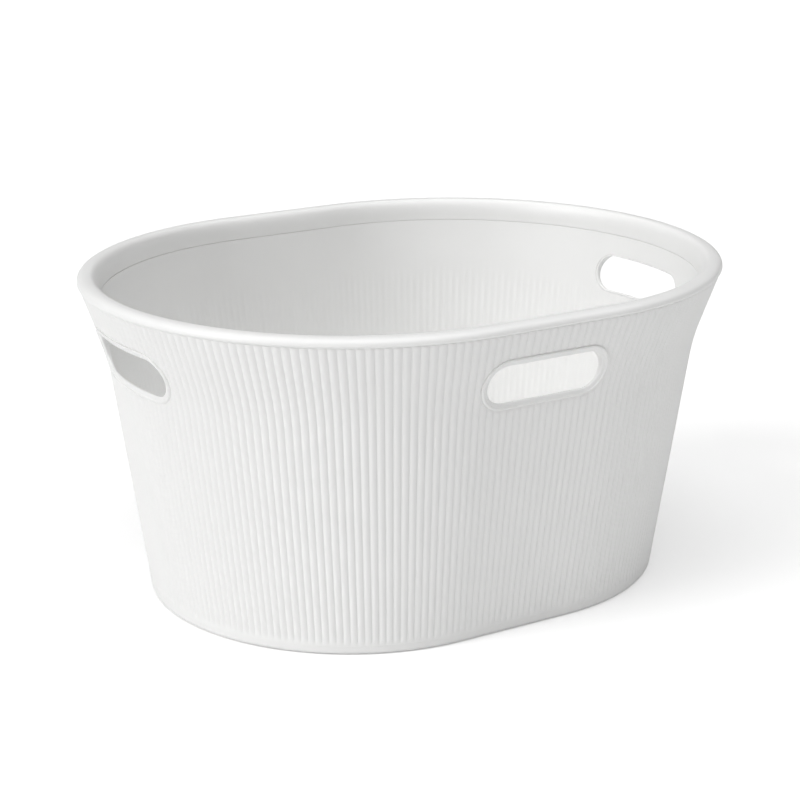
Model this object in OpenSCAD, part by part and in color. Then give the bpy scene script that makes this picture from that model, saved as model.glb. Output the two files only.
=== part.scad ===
// Oval laundry basket: a ribbed tapering wall that flares into a double-skinned collar, a rim ring
// clipped over the collar, a floor tray clipped under the wall, and three framed hand grips.
// +X runs along the length, -Y is the side with the grip, and z = 0 is the surface it stands on.

/* [Overall] */
// Length over the rim
rim_length = 590; // [500:1:720]
// Width over the rim
rim_width = 480; // [400:1:560]
// Height from the resting surface to the top of the rim
height = 291; // [240:1:350]

/* [Wall] */
// Distance from the rim's outline in to the foot's outline
foot_inset = 54.3; // [40:0.1:70]
// Distance from the rim's outline in to the wall at the waist, where the flare starts
waist_inset = 22.8; // [16:0.1:30]
// Height of the waist, below the top of the rim
waist_drop = 69; // [60:1:80]
// Half the height over which the taper turns into the flare
waist_blend = 18; // [6:1:24]
// Distance from the rim's outline in to the crests of the ribs at their top
crest_inset = 1.2; // [0.8:0.1:3]
// Thickness of the moulded skin
skin = 2.2; // [1.6:0.1:3]
// Height of the ribs on the skin, which the wall's solid takes in
rib_height = 1.2; // [0.8:0.1:2]
// Smallest gap between the two skins of the collar, where the hollow starts
hollow_start = 1; // [0.6:0.1:3]

/* [Rim] */
// Height of the rim's outer face, from the top of the ribs to the crown
rim_face = 7.5; // [6:0.1:12]
// Width of the rim's roll
roll_width = 20.4; // [17:0.1:26]
// Depth of the roll's inner curve below the top
roll_depth = 16; // [12:0.5:16.5]
// Height of the rounded outer lip below the roll's widest line
lip_rise = 1.6; // [1:0.1:3]
// How far the lip's lower edge stands out past the ribs
lip_step = 0.3; // [0:0.1:1]
// Fullness of the roll's crown, where 2 is an ellipse
roll_fullness = 2.4; // [2:0.1:3]
// Depth of the inner seam below the top of the rim
seam_drop = 20.5; // [16:0.5:26]
// Wall thickness of the rim ring
rim_skin = 2.2; // [1.6:0.1:3]
// Thickness of the rim's inner skirt
skirt = 1.6; // [1.2:0.1:2]
// How far the collar's outer skin reaches up inside the rim
tongue = 2.6; // [1.6:0.1:3]
// How far the collar's inner skin reaches up behind the skirt
inner_tongue = 6; // [4:0.5:8]
// Height of the snap bead on the skirt
snap = 0.5; // [0.3:0.1:0.8]

/* [Foot] */
// Height of the smooth hem round the foot
hem = 8; // [6:0.5:14]
// Thickness of the floor
floor_thickness = 2.5; // [2:0.1:4]
// Height of the floor's underside above the resting surface
floor_lift = 2; // [1:0.1:5]
// Width of the foot that the basket stands on
foot_width = 9; // [7:0.5:16]
// Depth to which the wall reaches into the tray
tray_groove = 5; // [3:0.5:6]
// Thickness of the tray's upstand inside the wall
upstand = 2; // [1.5:0.1:3]
// Height of the upstand above the hem
upstand_rise = 4; // [2:0.5:8]
// Bevel round the bottom of the hem
foot_bevel = 1.5; // [0.5:0.1:3]

/* [Grips] */
// Length of the opening in the front grip
front_grip_length = 113; // [90:1:140]
// Height of the opening in the front grip
front_grip_height = 34.6; // [28:0.2:40]
// Depth of the front grip's middle below the top of the rim
front_grip_drop = 54.7; // [50:0.1:62]
// Length of the opening in each end grip
end_grip_length = 121; // [90:1:140]
// Height of the opening in each end grip
end_grip_height = 33.6; // [28:0.2:42]
// Depth of the end grips' middle below the top of the rim
end_grip_drop = 58.3; // [50:0.1:64]
// Width of the raised frame round each opening
frame_width = 6; // [4.5:0.1:9]
// How far the frame stands out past the ribs
frame_proud = 1.3; // [0.6:0.1:2.5]
// Wall thickness of the sleeve that passes through the wall
sleeve = 2; // [1.5:0.1:3]
// Height of the ridge that clips the sleeve into the wall
grip_ridge = 0.5; // [0.3:0.1:0.8]
// Distance from the wall's inner face to the back of the ridge
ridge_back = 0.8; // [0.6:0.1:1]
// Distance from the wall's inner face to the front of the ridge
ridge_front = 1.6; // [1.4:0.1:2]

/* [Fits] */
// Clearance between pieces that clip together
fit = 0.15; // [0.05:0.05:0.3]

/* [Hidden] */
$fn = 96;

// The outline is two half-round ends joined by two straight sides.
end_r = rim_width / 2;
end_x = rim_length / 2 - end_r;

// Heights
waist_z = height - waist_drop;
rib_top = height - rim_face;
seam_z = height - seam_drop;
taper = (foot_inset - waist_inset) / waist_z;
flare = (waist_inset - crest_inset) / (rib_top - waist_z);
groove_z = hem - tray_groove;
thick = skin + rib_height;
roll_z = rib_top + lip_rise;
snap_z = seam_z + inner_tongue / 2;
// Run of a snap bead above and below its crest
snap_run = 2 * snap;
// How far cuts and joined solids run past the surface they meet
past = 1;
// Where the hollow under the roll ends outside, as shares of the roll's half width and of its rise
hollow_half = 1 / 2;
hollow_outside = 1 / 3;
// Degrees between the points of the oval's outline and of the roll's curve
oval_step = 3;
roll_step = 9;

// Offsets from the rim's outline at a height, negative inwards.
function straight(z) = -foot_inset + taper * z;
function flared(z) = -waist_inset + flare * (z - waist_z);
function crest(z) =
    z <= waist_z - waist_blend ? straight(z) :
    z >= waist_z + waist_blend ? flared(z) :
    straight(z) + (flare - taper) * pow(z - waist_z + waist_blend, 2) / (4 * waist_blend);
function inner(z) = straight(z) - thick;

// Heights at which the crest's curve is drawn, from one height to another
function bend(from, to) =
    [from, for (k = [-4:4]) let (z = waist_z + k * waist_blend / 4) if (z > from && z < to) z, to];
function reversed(list) = [for (i = [len(list) - 1:-1:0]) list[i]];

// One quarter of the roll's section: a full curve from 0 to 90 degrees
function full(c) = sign(c) * pow(abs(c), 2 / roll_fullness);

// Outline of the oval that runs a given distance outside the rim's outline
function oval(out) =
    [for (s = [1, -1]) for (a = [-90:oval_step:90])
        s * [end_x + (end_r + out) * cos(a), (end_r + out) * sin(a)]];

// Carries a section round the oval. The section's x is its offset from the rim's outline, its y the height.
module round_oval() {
    for (turn = [0, 180])
        rotate([0, 0, turn]) {
            translate([end_x, 0, 0])
                rotate([0, 0, -90])
                    rotate_extrude(angle = 180)
                        translate([end_r, 0]) children();
            translate([-end_x, 0, 0])
                rotate([90, 0, 90])
                    linear_extrude(2 * end_x)
                        translate([end_r, 0]) children();
        }
}

// Outline of a grip: straight runs with half-round ends
module stadium(length, tall) {
    for (s = [-1, 1]) translate([s * (length - tall) / 2, 0]) circle(d = tall);
    square([length - tall, tall], center = true);
}

// Bars through the wall at a grip. side: -1 left, 0 front, 1 right; grow widens the outline all round.
module grip_bar(side, grow) {
    long = side == 0 ? front_grip_length : end_grip_length;
    tall = side == 0 ? front_grip_height : end_grip_height;
    drop = side == 0 ? front_grip_drop : end_grip_drop;
    reach = side == 0 ? rim_width : rim_length;
    rotate([0, 0, side * 90])
        translate([0, 0, height - drop])
            rotate([90, 0, 0])
                linear_extrude(reach / 2 + frame_proud)
                    stadium(long + 2 * grow, tall + 2 * grow);
}

// Heights between which a grip's cuts and solids are drawn
function grip_zone(side) =
    let (middle = height - (side == 0 ? front_grip_drop : end_grip_drop))
    let (half = (side == 0 ? front_grip_height : end_grip_height) / 2 + frame_width + past)
    bend(middle - half, middle + half);

// The part of the wall's zone at a grip that lies between two surfaces, inside the bar
module slice(side, grow, back, front) {
    zs = grip_zone(side);
    intersection() {
        round_oval() polygon(concat(
            [for (z = zs) [front(z), z]],
            [for (z = reversed(zs)) [back(z), z]]));
        grip_bar(side, grow);
    }
}

module wall_section() {
    zs = bend(hem, rib_top);
    hollow_z = waist_z + (thick + hollow_start) / (flare - taper);
    lap = inner(seam_z) + skirt + fit;
    polygon(concat(
        [[inner(groove_z), groove_z], [inner(groove_z) + skin, groove_z], [inner(hem) + skin, hem]],
        [for (z = zs) [crest(z), z]],
        [[crest(rib_top) - rib_height, rib_top], [crest(rib_top) - rib_height, rib_top + tongue],
         [crest(rib_top) - thick, rib_top + tongue], [crest(rib_top) - thick, rib_top],
         [flared(hollow_z) - thick, hollow_z], [straight(hollow_z), hollow_z],
         [straight(seam_z), seam_z], [straight(seam_z), seam_z + inner_tongue],
         [lap, seam_z + inner_tongue], [lap, snap_z + snap_run],
         [lap + snap, snap_z], [lap, snap_z - snap_run],
         [lap, seam_z], [inner(seam_z), seam_z]]));
}

module basket_wall() {
    color("white")
        difference() {
            round_oval() wall_section();
            for (side = [-1, 0, 1]) {
                grip_bar(side, sleeve + fit);
                slice(side, frame_width + fit,
                    function(z) crest(z) - rib_height, function(z) crest(z) + past);
                slice(side, sleeve + grip_ridge + fit,
                    function(z) inner(z) + ridge_back - fit, function(z) inner(z) + ridge_front + fit);
            }
        }
}

// Section of the ring: the outer lip, the crown, the inner skirt with its snap bead, and the hollow roll
module rim_section() {
    half = roll_width / 2;
    rise = height - roll_z;
    inside = -half - inner(seam_z);
    lip = crest(rib_top) - rib_height + fit;
    lap = inner(seam_z) + skirt;
    polygon(concat(
        [[lip, rib_top], [crest(rib_top) + lip_step, rib_top]],
        [for (a = [0:roll_step:90]) [-half + half * full(cos(a)), roll_z + rise * full(sin(a))]],
        [for (a = [90 + roll_step:roll_step:180])
            [-half + inside * full(cos(a)), height - roll_depth + roll_depth * full(sin(a))]],
        [[inner(seam_z), seam_z], [lap, seam_z],
         [lap, snap_z - snap_run], [lap + snap, snap_z], [lap, snap_z + snap_run]],
        [for (a = [180:-roll_step:90])
            [-half + (inside - skirt) * full(cos(a)),
             height - roll_depth + (roll_depth - rim_skin) * full(sin(a))]],
        [[-half * (1 - hollow_half), height - rim_skin], [lip, roll_z + hollow_outside * rise]]));
}

module rim_ring() {
    color("white") round_oval() rim_section();
}

module tray_section() {
    top = hem + upstand_rise;
    floor_z = floor_lift + floor_thickness;
    polygon([
        [crest(0) - foot_width, 0], [crest(0) - foot_bevel, 0], [crest(foot_bevel), foot_bevel],
        [crest(hem), hem], [inner(hem) + skin + fit, hem], [inner(groove_z) + skin + fit, groove_z],
        [inner(groove_z) - fit, groove_z], [inner(top) - fit, top], [inner(top) - fit - upstand, top],
        [inner(floor_z) - fit - upstand, floor_z], [crest(0) - foot_width, floor_z]]);
}

module floor_tray() {
    color("white") {
        round_oval() tray_section();
        translate([0, 0, floor_lift])
            linear_extrude(floor_thickness)
                polygon(oval(crest(0) - foot_width + past));
    }
}

// One grip: a flange over the ribs, a sleeve through the wall and a ridge that clips it in
module grip_frame(side) {
    color("white")
        difference() {
            union() {
                slice(side, sleeve, function(z) inner(z), function(z) crest(z) + frame_proud);
                slice(side, frame_width,
                    function(z) crest(z) - rib_height, function(z) crest(z) + frame_proud);
                slice(side, sleeve + grip_ridge,
                    function(z) inner(z) + ridge_back, function(z) inner(z) + ridge_front);
            }
            grip_bar(side, 0);
        }
}

module grip_frame_left() { grip_frame(-1); }
module grip_frame_front() { grip_frame(0); }
module grip_frame_right() { grip_frame(1); }

basket_wall();
floor_tray();
rim_ring();
grip_frame_left();
grip_frame_front();
grip_frame_right();
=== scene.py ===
import math

import bmesh
import bpy
import numpy as np
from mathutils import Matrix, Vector


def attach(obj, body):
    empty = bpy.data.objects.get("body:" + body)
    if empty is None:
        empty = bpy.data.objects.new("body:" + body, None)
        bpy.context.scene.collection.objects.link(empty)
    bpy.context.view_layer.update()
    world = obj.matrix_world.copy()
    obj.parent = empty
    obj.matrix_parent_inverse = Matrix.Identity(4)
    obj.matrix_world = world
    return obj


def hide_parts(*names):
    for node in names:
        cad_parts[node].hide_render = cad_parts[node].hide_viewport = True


bl_info = {
    "name": "Oval laundry basket",
    "version": (1, 0, 0),
    "blender": (4, 5, 0),
    "location": "View3D > Sidebar > Basket",
    "description": "Builds a ribbed oval laundry basket with a rolled rim and three framed hand openings",
    "category": "Object",
}

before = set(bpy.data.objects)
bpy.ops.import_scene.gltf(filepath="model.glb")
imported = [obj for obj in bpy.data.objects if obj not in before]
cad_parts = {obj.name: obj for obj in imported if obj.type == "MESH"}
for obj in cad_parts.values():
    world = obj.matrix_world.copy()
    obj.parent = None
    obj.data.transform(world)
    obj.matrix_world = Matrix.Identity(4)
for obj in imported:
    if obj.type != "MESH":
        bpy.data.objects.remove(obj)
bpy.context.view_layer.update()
MM = 0.001

# The slow mottle of the plastic, darker and lighter than its colour
MOTTLE_LOW = 0.985
MOTTLE_HIGH = 1.012

# Outline of the rim in millimetres: two half-round ends of radius END_R, joined by sides 2 * END_X long.
END_R = 240.0
END_X = 55.0
HEIGHT = 291.0

# Heights, in millimetres above the floor
HEM = 8.0
HEM_FADE = 9.0
GROOVE_Z = 3.0
WAIST_Z = 222.0
WAIST_BLEND = 18.0
SEAM_Z = 270.5
RIB_TOP = 283.5
ROLL_Z = 285.1
ROLL_WIDTH = 20.4
ROLL_DEPTH = 16.0
ROLL_FULLNESS = 2.4
SKIRT = 1.6
RIM_SKIN = 2.2

# The collar: where its hollow starts, how far its lip and its lap reach up, and the bevel at its seam
HOLLOW_GAP = 1.0
LIP_RISE = 2.6
LAP = 6.0
BEVEL = 0.3

# The floor tray's floor, its underside and the top of its upstand
FLOOR_TOP = 4.5
FLOOR_UNDER = 2.0
UPSTAND_Z = 12.0

# The faint ribs inside fade out over these heights
RIPPLE_TOP = 225.0
RIPPLE_TOP_FADE = 15.0
RIPPLE_FOOT = 12.0
RIPPLE_FOOT_FADE = 10.0

# Offsets from the rim's outline, in millimetres, negative inwards
FOOT_INSET = 54.3
WAIST_INSET = 22.8
CREST_INSET = 1.2
SKIN = 2.2
RIB_DEPTH = 1.2
THICK = SKIN + RIB_DEPTH
TAPER = (FOOT_INSET - WAIST_INSET) / WAIST_Z
FLARE = (WAIST_INSET - CREST_INSET) / (RIB_TOP - WAIST_Z)

# Grips: the frame's width, the sleeve's thickness and the clearance round it
FRAME_WIDTH = 6.0
SLEEVE = 2.0
FIT = 0.15
# side: -1 left, 0 front, 1 right; then length, height and height of the middle above the floor
GRIPS = {
    -1: (121.0, 33.6, HEIGHT - 58.3),
    0: (113.0, 34.6, HEIGHT - 54.7),
    1: (121.0, 33.6, HEIGHT - 58.3),
}
GRIP_NODES = {-1: "grip_frame_left", 0: "grip_frame_front", 1: "grip_frame_right"}


def straight(z):
    """Offset of the plain taper: it grows by TAPER for each millimetre of height from the foot's inset."""
    return -FOOT_INSET + TAPER * z


def flared(z):
    """Offset of the flare above the waist: it grows by FLARE for each millimetre."""
    return -WAIST_INSET + FLARE * (z - WAIST_Z)


def crest(z):
    """Offset of the ribs' crests: the taper, then a parabola across the waist, then the flare."""
    z = np.asarray(z, float)
    low, high = WAIST_Z - WAIST_BLEND, WAIST_Z + WAIST_BLEND
    curve = straight(z) + (FLARE - TAPER) * (z - low) ** 2 / (4 * WAIST_BLEND)
    return np.where(z <= low, straight(z), np.where(z >= high, flared(z), curve))


def inner(z):
    """Offset of the wall's inner face: the taper, moved in by the wall's thickness."""
    return straight(z) - THICK


def oval(share, offset):
    """Point of the oval at a share of its own length, from the middle of the near side towards +X.

    The oval at an offset is a side of 2 * END_X, a half circle of radius END_R + offset, a side and another
    half circle."""
    share, offset = np.broadcast_arrays(np.asarray(share, float), np.asarray(offset, float))
    r = END_R + offset
    run = (share % 1.0) * (2 * math.pi * r + 4 * END_X)
    safe = np.maximum(r, 1e-9)
    right = (run - END_X) / safe
    back = run - END_X - math.pi * r
    left = (back - 2 * END_X) / safe
    last = back - 2 * END_X - math.pi * r
    x = np.select(
        [run <= END_X, right <= math.pi, back <= 2 * END_X, left <= math.pi],
        [run, END_X + r * np.sin(right), END_X - back, -END_X - r * np.sin(left)],
        -END_X + last,
    )
    y = np.select(
        [run <= END_X, right <= math.pi, back <= 2 * END_X, left <= math.pi],
        [-r, -r * np.cos(right), r, r * np.cos(left)],
        -r,
    )
    return x, y


def pill_distance(u, v, length, tall):
    """Distance from a pill outline: that to the segment along its middle, less half its height."""
    reach = np.maximum(np.abs(u) - (length - tall) / 2, 0)
    return np.hypot(reach, v) - tall / 2


def pill(n, length, tall, grow):
    """Outline of a pill, grown all round: half circles joined by straight runs.

    Its n points are in equal steps along the outline before it is grown."""
    r = tall / 2
    side = length - tall
    around = 2 * math.pi * r + 2 * side
    s = np.arange(n) / n * around
    a = (s - side / 2) / r
    b = s - side / 2 - math.pi * r
    c = (b - side) / r
    d = b - side - math.pi * r
    masks = [s <= side / 2, a <= math.pi, b <= side, c <= math.pi]
    big = r + grow
    flat = np.full_like(s, big)
    u = np.select(
        masks, [s, side / 2 + big * np.sin(a), side / 2 - b, -side / 2 - big * np.sin(c)], -side / 2 + d)
    v = np.select(masks, [-flat, -big * np.cos(a), flat, big * np.cos(c)], -flat)
    return u, v


def on_side(side, u, offset):
    """Where a line straight through the wall at u along a grip meets the oval at an offset."""
    r = END_R + offset
    if side == 0:
        past = np.maximum(np.abs(u) - END_X, 0)
        return u, -np.sqrt(r**2 - past**2)
    return side * (END_X + np.sqrt(r**2 - u**2)), side * u


def loop_faces(rows, cols, close_rows):
    """Quads of a grid whose columns close on themselves, and whose rows do too if asked."""
    i = np.arange(rows if close_rows else rows - 1)[:, None]
    j = np.arange(cols)[None, :]
    i2, j2 = (i + 1) % rows, (j + 1) % cols
    quads = np.stack([i * cols + j, i * cols + j2, i2 * cols + j2, i2 * cols + j], axis=-1)
    return quads.reshape(-1, 4)


def make_mesh(name, points_mm, quads):
    """Mesh of quads, turned so that its volume, the sum of its corner products, is positive."""
    p = points_mm
    a, b, c, d = (p[quads[:, k]] for k in range(4))
    volume = sum(np.einsum("ij,ij->i", a, np.cross(*pair)).sum() for pair in ((b, c), (c, d)))
    if volume < 0:
        quads = quads[:, ::-1]
    mesh = bpy.data.meshes.new(name)
    mesh.from_pydata((points_mm * MM).tolist(), [], quads.tolist())
    mesh.update()
    return mesh


def place(name, mesh, material, node, sharp_deg):
    """Puts a mesh in the scene in place of its CAD node, creased where faces meet above sharp_deg."""
    mesh.shade_smooth()
    mesh.set_sharp_from_angle(angle=math.radians(sharp_deg))
    mesh.materials.clear()
    mesh.materials.append(material)
    piece = bpy.data.objects.new(name, mesh)
    bpy.context.scene.collection.objects.link(piece)
    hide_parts(node)
    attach(piece, "root")
    return piece


def grain_group():
    """Node group of moulded plastic: a fine grain and a slow mottle, from noise on object coordinates."""
    name = "Moulded grain"
    if name in bpy.data.node_groups:
        return bpy.data.node_groups[name]
    group = bpy.data.node_groups.new(name, "ShaderNodeTree")
    face = group.interface
    plain = (("Grain size", 900.0), ("Mottle size", 14.0), ("Rough low", 0.36), ("Rough high", 0.46))
    for label, default in plain:
        face.new_socket(name=label, in_out="INPUT", socket_type="NodeSocketFloat").default_value = default
    face.new_socket(name="Tone low", in_out="INPUT", socket_type="NodeSocketColor")
    face.new_socket(name="Tone high", in_out="INPUT", socket_type="NodeSocketColor")
    face.new_socket(name="Colour", in_out="OUTPUT", socket_type="NodeSocketColor")
    face.new_socket(name="Roughness", in_out="OUTPUT", socket_type="NodeSocketFloat")
    face.new_socket(name="Height", in_out="OUTPUT", socket_type="NodeSocketFloat")
    nodes, links = group.nodes, group.links
    entry, out = nodes.new("NodeGroupInput"), nodes.new("NodeGroupOutput")
    place_on = nodes.new("ShaderNodeTexCoord")
    fine, slow = nodes.new("ShaderNodeTexNoise"), nodes.new("ShaderNodeTexNoise")
    fine.inputs["Detail"].default_value = 2.0
    slow.inputs["Detail"].default_value = 3.0
    tone, rough = nodes.new("ShaderNodeMix"), nodes.new("ShaderNodeMapRange")
    tone.data_type = "RGBA"
    for noise, size in ((fine, "Grain size"), (slow, "Mottle size")):
        links.new(place_on.outputs["Object"], noise.inputs["Vector"])
        links.new(entry.outputs[size], noise.inputs["Scale"])
    links.new(slow.outputs["Fac"], tone.inputs[0])
    links.new(entry.outputs["Tone low"], tone.inputs[6])
    links.new(entry.outputs["Tone high"], tone.inputs[7])
    links.new(slow.outputs["Fac"], rough.inputs["Value"])
    links.new(entry.outputs["Rough low"], rough.inputs["To Min"])
    links.new(entry.outputs["Rough high"], rough.inputs["To Max"])
    links.new(tone.outputs[2], out.inputs["Colour"])
    links.new(rough.outputs["Result"], out.inputs["Roughness"])
    links.new(fine.outputs["Fac"], out.inputs["Height"])
    return group


def plastic(name, level, rough_low, rough_high, bump):
    """Satin white polypropylene: the grain group feeds its colour, roughness and a shallow bump."""
    if name in bpy.data.materials:
        return bpy.data.materials[name]
    finish = bpy.context.scene.basket_finish
    material = bpy.data.materials.new(name)
    material.use_nodes = True
    nodes, links = material.node_tree.nodes, material.node_tree.links
    shader = nodes["Principled BSDF"]
    shader.inputs["Specular IOR Level"].default_value = 0.5
    shader.inputs["IOR"].default_value = 1.49
    grain = nodes.new("ShaderNodeGroup")
    grain.node_tree = grain_group()
    base = np.array(finish.colour[:3]) * level
    grain.inputs["Rough low"].default_value = rough_low
    grain.inputs["Rough high"].default_value = rough_high
    grain.inputs["Tone low"].default_value = (*(base * MOTTLE_LOW), 1.0)
    grain.inputs["Tone high"].default_value = (*np.minimum(base * MOTTLE_HIGH, 1.0), 1.0)
    bumped = nodes.new("ShaderNodeBump")
    bumped.inputs["Strength"].default_value = bump
    bumped.inputs["Distance"].default_value = 0.0001
    links.new(grain.outputs["Colour"], shader.inputs["Base Color"])
    links.new(grain.outputs["Roughness"], shader.inputs["Roughness"])
    links.new(grain.outputs["Height"], bumped.inputs["Height"])
    links.new(bumped.outputs["Normal"], shader.inputs["Normal"])
    return material


class BasketShape(bpy.types.PropertyGroup):
    ribs: bpy.props.IntProperty(name="Ribs", description="Ribs round the wall", default=232, min=80, max=400)
    rib_height: bpy.props.FloatProperty(
        name="Rib height", description="Height of a rib above its groove", default=0.0012,
        min=0.0003, max=0.0012, unit="LENGTH", subtype="DISTANCE")
    rib_end: bpy.props.FloatProperty(
        name="Rib end", description="Length over which a rib rounds off at its ends", default=0.002,
        min=0.001, max=0.01, unit="LENGTH", subtype="DISTANCE")
    rib_phase: bpy.props.FloatProperty(
        name="Rib phase", description="First groove past the middle of the near side, in ribs", default=0.15)
    inside_ripple: bpy.props.FloatProperty(
        name="Inside ripple", description="Depth of the faint ribs inside", default=0.0005,
        min=0.0, max=0.0008, unit="LENGTH", subtype="DISTANCE")


class BasketFinish(bpy.types.PropertyGroup):
    colour: bpy.props.FloatVectorProperty(
        name="Colour", description="Colour of the plastic", size=3, subtype="COLOR",
        min=0.0, max=1.0, default=(0.90, 0.90, 0.893))
    grain: bpy.props.FloatProperty(
        name="Grain", description="Strength of the moulded grain", default=0.25, min=0.0, max=1.0,
        subtype="FACTOR")


class BasketStudio(bpy.types.PropertyGroup):
    floor_colour: bpy.props.FloatVectorProperty(
        name="Floor", description="Colour of the floor", size=3, subtype="COLOR",
        min=0.0, max=1.0, default=(0.93, 0.93, 0.93))
    floor_lift: bpy.props.FloatProperty(
        name="Floor lift", description="Brightness added to the floor as it is seen", default=0.22, min=0.0)
    key: bpy.props.FloatProperty(
        name="Key light", description="Strength of the soft light from the left", default=1.08, min=0.0)
    side: bpy.props.FloatProperty(
        name="Side light", description="Strength of the low light from the left", default=0.48, min=0.0)
    front: bpy.props.FloatProperty(
        name="Front light", description="Strength of the high light from the front", default=0.55, min=0.0)
    overhead: bpy.props.FloatProperty(
        name="Overhead light", description="Strength of the soft light from above", default=1.50, min=0.0)
    fill: bpy.props.FloatProperty(
        name="Surrounding light", description="Strength of the light from all round", default=0.10, min=0.0)


class BASKET_OT_wall(bpy.types.Operator):
    """Ribbed wall: a section carried round the oval, with the ribs as reeds and three openings cut through"""

    bl_idname = "basket.wall"
    bl_label = "Wall"

    COLUMNS_PER_RIB = 6
    GRIP_ROWS_TOP = 264.0
    COLLAR_ROW = 272.0
    END_ROWS = 2.5
    CUTTER_POINTS = 96
    CUTTER_FROM, CUTTER_TO = END_R - 90.0, END_R + 20.0

    def outer_heights(self):
        """Heights of the rows outside, close together where ribs end and where the wall bends."""
        return np.unique(np.concatenate([
            np.linspace(HEM, HEM + HEM_FADE, 6), np.linspace(HEM + HEM_FADE, WAIST_Z - WAIST_BLEND, 3),
            np.linspace(WAIST_Z - WAIST_BLEND, self.GRIP_ROWS_TOP, 38), [self.COLLAR_ROW],
            np.linspace(RIB_TOP - self.END_ROWS, RIB_TOP, 5)]))

    def reeds(self, share, z, offset, shape):
        """Rib height: 1 less the squares of the place across the rib and of the nearness to the rib's end."""
        across = (share * shape.ribs - shape.rib_phase) % 1.0
        x, y = oval(share, offset)
        gap = np.full_like(x, RIB_TOP - z)
        for side, (length, tall, middle) in GRIPS.items():
            u = x if side == 0 else y
            near = (y < 0) if side == 0 else (side * x > 0)
            away = pill_distance(u, z - middle, length, tall) - FRAME_WIDTH
            gap = np.where(near, np.minimum(gap, away), gap)
        end = 1 - np.clip(gap / (shape.rib_end / MM), 0, 1)
        high = np.clip(1 - (2 * across - 1) ** 2 - end**2, 0, 1)
        run_out = np.clip((z - HEM) / HEM_FADE, 0, 1)
        return 1 - (1 - high) * run_out**2 * (3 - 2 * run_out)

    def execute(self, context):
        shape = context.scene.basket_shape
        columns = shape.ribs * self.COLUMNS_PER_RIB
        share = (np.arange(columns) / self.COLUMNS_PER_RIB + shape.rib_phase) / shape.ribs
        z_out = self.outer_heights()
        lip = float(crest(RIB_TOP)) - RIB_DEPTH
        hollow_z = WAIST_Z + (THICK + HOLLOW_GAP) / (FLARE - TAPER)
        back = inner(SEAM_Z) + SKIRT + FIT
        upper = [
            (lip, RIB_TOP + LIP_RISE), (lip - SKIN, RIB_TOP + LIP_RISE), (lip - SKIN, RIB_TOP),
            (flared(hollow_z) - THICK, hollow_z), (straight(hollow_z), hollow_z),
            (straight(SEAM_Z), SEAM_Z), (straight(SEAM_Z), SEAM_Z + LAP),
            (back, SEAM_Z + LAP), (back, SEAM_Z), (inner(SEAM_Z) + BEVEL, SEAM_Z),
            (inner(SEAM_Z), SEAM_Z - BEVEL)]
        z_in = np.array([
            240.0, RIPPLE_TOP, RIPPLE_TOP - RIPPLE_TOP_FADE / 2, RIPPLE_TOP - RIPPLE_TOP_FADE, 100.0,
            RIPPLE_FOOT + RIPPLE_FOOT_FADE, RIPPLE_FOOT + RIPPLE_FOOT_FADE / 2, UPSTAND_Z + 0.5])
        lower = [(inner(GROOVE_Z), GROOVE_Z), (inner(GROOVE_Z) + SKIN, GROOVE_Z), (inner(HEM) + SKIN, HEM)]
        rows = []
        for z in z_out:
            base = float(crest(z))
            high = self.reeds(share, z, base, shape)
            rows.append((base - RIB_DEPTH + shape.rib_height / MM * high, np.full(columns, z)))
        for offset, z in upper:
            rows.append((np.full(columns, offset), np.full(columns, z)))
        across = (share * shape.ribs - shape.rib_phase) % 1.0
        for z in z_in:
            fade = np.clip((RIPPLE_TOP - z) / RIPPLE_TOP_FADE, 0, 1)
            fade *= np.clip((z - RIPPLE_FOOT) / RIPPLE_FOOT_FADE, 0, 1)
            ripple = shape.inside_ripple / MM * fade * (1 - (2 * across - 1) ** 2)
            rows.append((inner(z) + ripple, np.full(columns, z)))
        for offset, z in lower:
            rows.append((np.full(columns, offset), np.full(columns, z)))
        offset = np.stack([r[0] for r in rows])
        height = np.stack([r[1] for r in rows])
        x, y = oval(share[None, :], offset)
        points = np.stack([x, y, height], axis=-1).reshape(-1, 3)
        mesh = make_mesh("wall", points, loop_faces(len(rows), columns, True))
        body = bpy.data.objects.new("wall_uncut", mesh)
        context.scene.collection.objects.link(body)
        cutters = [self.cutter(context, side) for side in GRIPS]
        for bar in cutters:
            cut = body.modifiers.new("opening", "BOOLEAN")
            cut.operation, cut.solver, cut.object = "DIFFERENCE", "MANIFOLD", bar
        context.view_layer.update()
        done = bpy.data.meshes.new_from_object(body.evaluated_get(context.evaluated_depsgraph_get()))
        for spare in [body, *cutters]:
            bpy.data.objects.remove(spare)
        if len(done.polygons) < columns:
            raise RuntimeError("the openings could not be cut through the wall")
        done.name = "wall"
        material = plastic("Ribbed wall plastic", 1.0, 0.40, 0.50, context.scene.basket_finish.grain)
        place("wall", done, material, "basket_wall", sharp_deg=32)
        return {"FINISHED"}

    def cutter(self, context, side):
        """Bar through the wall: a pill outline grown by the sleeve, drawn from inside to outside."""
        length, tall, middle = GRIPS[side]
        u, v = pill(self.CUTTER_POINTS, length, tall, SLEEVE + FIT)
        ends = []
        for reach in (self.CUTTER_FROM, self.CUTTER_TO):
            if side == 0:
                ends.append(np.stack([u, np.full_like(u, -reach), v + middle], axis=-1))
            else:
                x = np.full_like(u, side * (reach + END_X))
                ends.append(np.stack([x, side * u, v + middle], axis=-1))
        points = np.concatenate(ends)
        n = len(u)
        j = np.arange(n)
        quads = np.stack([j, (j + 1) % n, (j + 1) % n + n, j + n], axis=-1)
        mesh = bpy.data.meshes.new("bar")
        caps = [list(range(n))[::-1], list(range(n, 2 * n))]
        mesh.from_pydata((points * MM).tolist(), [], quads.tolist() + caps)
        mesh.update()
        build = bmesh.new()
        build.from_mesh(mesh)
        bmesh.ops.recalc_face_normals(build, faces=build.faces)
        build.to_mesh(mesh)
        build.free()
        bar = bpy.data.objects.new("bar", mesh)
        context.scene.collection.objects.link(bar)
        return bar


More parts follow.
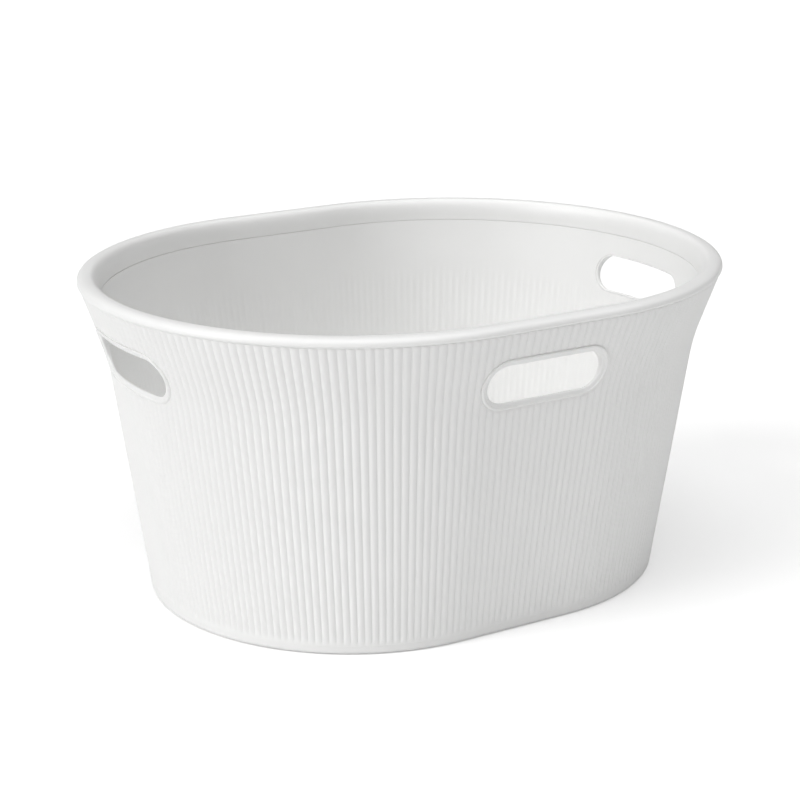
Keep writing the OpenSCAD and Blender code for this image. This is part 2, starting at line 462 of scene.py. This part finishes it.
class BASKET_OT_tray(bpy.types.Operator):
    """Floor tray: the hem and the floor, a section carried round the oval and closed along its middle line"""

    bl_idname = "basket.tray"
    bl_label = "Floor tray"

    COLUMNS = 720

    def execute(self, context):
        foot = straight(0)
        up = inner(UPSTAND_Z) - FIT
        middle = -END_R
        # From the middle of the floor out to the upstand, down the clip, round the hem, and back underneath
        section = [
            (middle, FLOOR_TOP), (foot - 60, FLOOR_TOP), (foot - 12, FLOOR_TOP),
            (inner(FLOOR_TOP) - FIT - 2.6, FLOOR_TOP), (inner(FLOOR_TOP) - FIT - 2.1, FLOOR_TOP + 0.6),
            (up - 2, UPSTAND_Z - 0.4), (up - 1.6, UPSTAND_Z), (up - 0.4, UPSTAND_Z), (up, UPSTAND_Z - 0.4),
            (inner(GROOVE_Z) - FIT, GROOVE_Z), (inner(GROOVE_Z) + SKIN + FIT, GROOVE_Z),
            (inner(HEM) + SKIN + FIT, HEM), (float(crest(HEM)) - 0.12, HEM), (float(crest(HEM)), HEM - 0.12),
            (float(crest(4.5)), 4.5), (float(crest(2.4)), 2.4), (foot - 0.4, 1.5), (foot - 1.2, 0.95),
            (foot - 2.4, 0.7), (foot - 4, 0.5), (foot - 4.4, 0),
            (foot - 9, 0), (foot - 9, FLOOR_UNDER), (foot - 60, FLOOR_UNDER), (middle, FLOOR_UNDER)]
        share = np.arange(self.COLUMNS) / self.COLUMNS
        offset = np.array([s[0] for s in section])[:, None]
        height = np.broadcast_to(np.array([s[1] for s in section])[:, None], (len(section), self.COLUMNS))
        x, y = oval(share[None, :], offset)
        points = np.stack([x, y, height], axis=-1).reshape(-1, 3)
        mesh = make_mesh("tray", points, loop_faces(len(section), self.COLUMNS, False))
        build = bmesh.new()
        build.from_mesh(mesh)
        bmesh.ops.remove_doubles(build, verts=build.verts, dist=1e-6)
        build.to_mesh(mesh)
        build.free()
        material = plastic("Tray plastic", 0.995, 0.38, 0.46, context.scene.basket_finish.grain)
        place("tray", mesh, material, "floor_tray", sharp_deg=35)
        return {"FINISHED"}


class BASKET_OT_rim(bpy.types.Operator):
    """Rolled rim: a rounded-square curve and a hollow under it, carried round the oval"""

    bl_idname = "basket.rim"
    bl_label = "Rim ring"

    COLUMNS = 900
    LINE = 0.25
    EASE = 0.3

    def quarter(self, start, stop, steps, x, wide, z, tall):
        """Rounded-square quarter: cosine and sine, each to the power 2 / ROLL_FULLNESS with its sign kept."""
        a = np.radians(np.linspace(start, stop, steps))
        cos, sin = np.cos(a), np.abs(np.sin(a))
        return np.stack([
            x + wide * np.sign(cos) * np.abs(cos) ** (2 / ROLL_FULLNESS),
            z + tall * sin ** (2 / ROLL_FULLNESS)],
            axis=-1)

    def execute(self, context):
        half, rise = ROLL_WIDTH / 2, HEIGHT - ROLL_Z
        inside = -half - inner(SEAM_Z)
        lip = float(crest(RIB_TOP)) - RIB_DEPTH + FIT
        back = inner(SEAM_Z) + SKIRT
        outer = float(crest(RIB_TOP)) + self.EASE
        face = inner(SEAM_Z)
        # Out under the lip, over the roll to the inner face, down to the seam, and back inside the hollow
        section = np.concatenate([
            [[lip, RIB_TOP], [outer - 0.35, RIB_TOP], [outer - 0.05, RIB_TOP + self.LINE]],
            self.quarter(0, 90, 25, -half, half, ROLL_Z, rise),
            self.quarter(90, 180, 33, -half, inside, HEIGHT - ROLL_DEPTH, ROLL_DEPTH)[1:],
            [[face, SEAM_Z + 2 * self.EASE], [face + self.EASE, SEAM_Z + self.LINE],
             [back, SEAM_Z + self.LINE]],
            self.quarter(180, 90, 12, -half, inside - SKIRT, HEIGHT - ROLL_DEPTH, ROLL_DEPTH - RIM_SKIN),
            [[-half * 0.5, HEIGHT - RIM_SKIN], [lip, ROLL_Z + rise / 3]]])
        share = np.arange(self.COLUMNS) / self.COLUMNS
        x, y = oval(share[None, :], section[:, :1])
        height = np.broadcast_to(section[:, 1:], x.shape)
        points = np.stack([x, y, height], axis=-1).reshape(-1, 3)
        mesh = make_mesh("rim", points, loop_faces(len(section), self.COLUMNS, True))
        material = plastic("Rim plastic", 1.01, 0.34, 0.42, context.scene.basket_finish.grain * 0.6)
        place("rim", mesh, material, "rim_ring", sharp_deg=35)
        return {"FINISHED"}


class BASKET_OT_grips(bpy.types.Operator):
    """Grip frames: a section with a bead, an inward lip and a sleeve, carried round each opening"""

    bl_idname = "basket.grips"
    bl_label = "Grip frames"

    OUTLINE_POINTS = 192

    # Growth of the outline, then 0 for the inner face to 1 for the crests, then distance past that face
    SECTION = (
        (6.0, 1, -1.2), (6.0, 1, -0.35), (5.85, 1, 0.2), (5.5, 1, 0.55), (5.0, 1, 0.75), (4.5, 1, 0.78),
        (4.0, 1, 0.65), (3.6, 1, 0.35), (3.3, 1, -0.1), (2.4, 1, -0.4), (1.3, 1, -0.7), (0.5, 1, -1.15),
        (0.1, 1, -1.6), (0.0, 1, -2.1), (0.0, 0, 0.9), (0.15, 0, 0.42), (0.5, 0, 0.12),
        (1.0, 0, 0.0), (1.6, 0, 0.1), (2.0, 0, 0.5), (2.0, 0, 0.8), (2.5, 0, 1.05), (2.5, 0, 1.35),
        (2.0, 0, 1.6), (2.0, 1, -1.2),
    )

    def execute(self, context):
        material = plastic("Grip plastic", 1.0, 0.36, 0.44, context.scene.basket_finish.grain * 0.6)
        for side, (length, tall, middle) in GRIPS.items():
            rows = []
            for grow, part, past in self.SECTION:
                u, v = pill(self.OUTLINE_POINTS, length, tall, grow)
                z = v + middle
                offset = (1 - part) * inner(z) + part * crest(z) + past
                x, y = on_side(side, u, offset)
                rows.append(np.stack([x, y, z], axis=-1))
            points = np.concatenate(rows)
            node = GRIP_NODES[side]
            mesh = make_mesh(node, points, loop_faces(len(rows), self.OUTLINE_POINTS, True))
            place(node + "_moulded", mesh, material, node, sharp_deg=40)
        return {"FINISHED"}


class BASKET_OT_stage(bpy.types.Operator):
    """Stage: a pale floor, soft light from the left, the front, above and all round, and the camera"""

    bl_idname = "basket.stage"
    bl_label = "Floor, light and camera"

    FLOOR_REACH = 14.0
    LAMP_DISTANCE = 3.0

    def execute(self, context):
        scene, studio = context.scene, context.scene.basket_studio
        mesh = bpy.data.meshes.new("floor")
        reach = self.FLOOR_REACH
        mesh.from_pydata(
            [(-reach, -reach, 0), (reach, -reach, 0), (reach, reach, 0), (-reach, reach, 0)],
            [], [(0, 1, 2, 3)])
        floor = bpy.data.objects.new("floor", mesh)
        scene.collection.objects.link(floor)
        paint = bpy.data.materials.new("Pale floor")
        paint.use_nodes = True
        shader = paint.node_tree.nodes["Principled BSDF"]
        shader.inputs["Base Color"].default_value = (*studio.floor_colour, 1.0)
        shader.inputs["Roughness"].default_value = 0.9
        shader.inputs["Specular IOR Level"].default_value = 0.0
        shader.inputs["Emission Color"].default_value = (1.0, 1.0, 1.0, 1.0)
        seen = paint.node_tree.nodes.new("ShaderNodeLightPath")
        lift = paint.node_tree.nodes.new("ShaderNodeMath")
        lift.operation = "MULTIPLY"
        lift.inputs[1].default_value = studio.floor_lift
        paint.node_tree.links.new(seen.outputs["Is Camera Ray"], lift.inputs[0])
        paint.node_tree.links.new(lift.outputs[0], shader.inputs["Emission Strength"])
        mesh.materials.append(paint)

        world = bpy.data.worlds.new("Studio")
        world.use_nodes = True
        sky = world.node_tree.nodes["Background"]
        sky.inputs["Color"].default_value = (1.0, 1.0, 1.0, 1.0)
        sky.inputs["Strength"].default_value = studio.fill
        scene.world = world
        # Each lamp's name, the way towards it, its strength and its width across in degrees
        lamps = (
            ("Key", (-0.80, 0.05, 0.60), studio.key, 24),
            ("Side", (-0.95, -0.20, 0.25), studio.side, 24),
            ("Front", (0.0, -0.60, 0.80), studio.front, 50),
            ("Overhead", (0.0, 0.0, 1.0), studio.overhead, 70))
        for label, toward, strength, spread in lamps:
            data = bpy.data.lights.new(label, "SUN")
            data.energy, data.angle = strength, math.radians(spread)
            lamp = bpy.data.objects.new(label, data)
            lamp.location = self.LAMP_DISTANCE * Vector(toward)
            lamp.rotation_euler = (-Vector(toward)).to_track_quat("-Z", "Y").to_euler()
            scene.collection.objects.link(lamp)

        azimuth, elevation, distance = math.radians(-31.406), math.radians(18.221), 1.8614
        target = Vector((0, 0, 0.135))
        data = bpy.data.cameras.new("Camera")
        data.sensor_width, data.lens = 36.0, 91.03
        data.shift_x, data.shift_y = -0.0056, 0.0288
        data.dof.use_dof = False
        camera = bpy.data.objects.new("Camera", data)
        camera.location = target + distance * Vector((
            math.cos(elevation) * math.sin(azimuth), -math.cos(elevation) * math.cos(azimuth),
            math.sin(elevation)))
        camera.rotation_euler = (target - camera.location).to_track_quat("-Z", "Y").to_euler()
        scene.collection.objects.link(camera)
        scene.camera = camera
        scene.view_settings.view_transform = "Standard"
        return {"FINISHED"}


class BASKET_PT_panel(bpy.types.Panel):
    """Shows the shape, finish and studio settings, and a button for each step"""

    bl_idname = "BASKET_PT_panel"
    bl_label = "Oval laundry basket"
    bl_space_type = "VIEW_3D"
    bl_region_type = "UI"
    bl_category = "Basket"

    def draw(self, context):
        for group in (context.scene.basket_shape, context.scene.basket_finish, context.scene.basket_studio):
            box = self.layout.box()
            for key in group.bl_rna.properties.keys():
                if key not in ("rna_type", "name"):
                    box.prop(group, key)
        for step in STEPS:
            self.layout.operator(step.bl_idname)


STEPS = (BASKET_OT_wall, BASKET_OT_tray, BASKET_OT_rim, BASKET_OT_grips, BASKET_OT_stage)
GROUPS = {"basket_shape": BasketShape, "basket_finish": BasketFinish, "basket_studio": BasketStudio}


def register():
    for cls in (*GROUPS.values(), *STEPS, BASKET_PT_panel):
        bpy.utils.register_class(cls)
    for name, group in GROUPS.items():
        setattr(bpy.types.Scene, name, bpy.props.PointerProperty(type=group))


def unregister():
    for name in GROUPS:
        delattr(bpy.types.Scene, name)
    for cls in reversed((*GROUPS.values(), *STEPS, BASKET_PT_panel)):
        bpy.utils.unregister_class(cls)


def main():
    register()
    bpy.ops.basket.wall()
    bpy.ops.basket.tray()
    bpy.ops.basket.rim()
    bpy.ops.basket.grips()
    bpy.ops.basket.stage()
    bpy.context.view_layer.update()


if __name__ == "__main__":
    main()
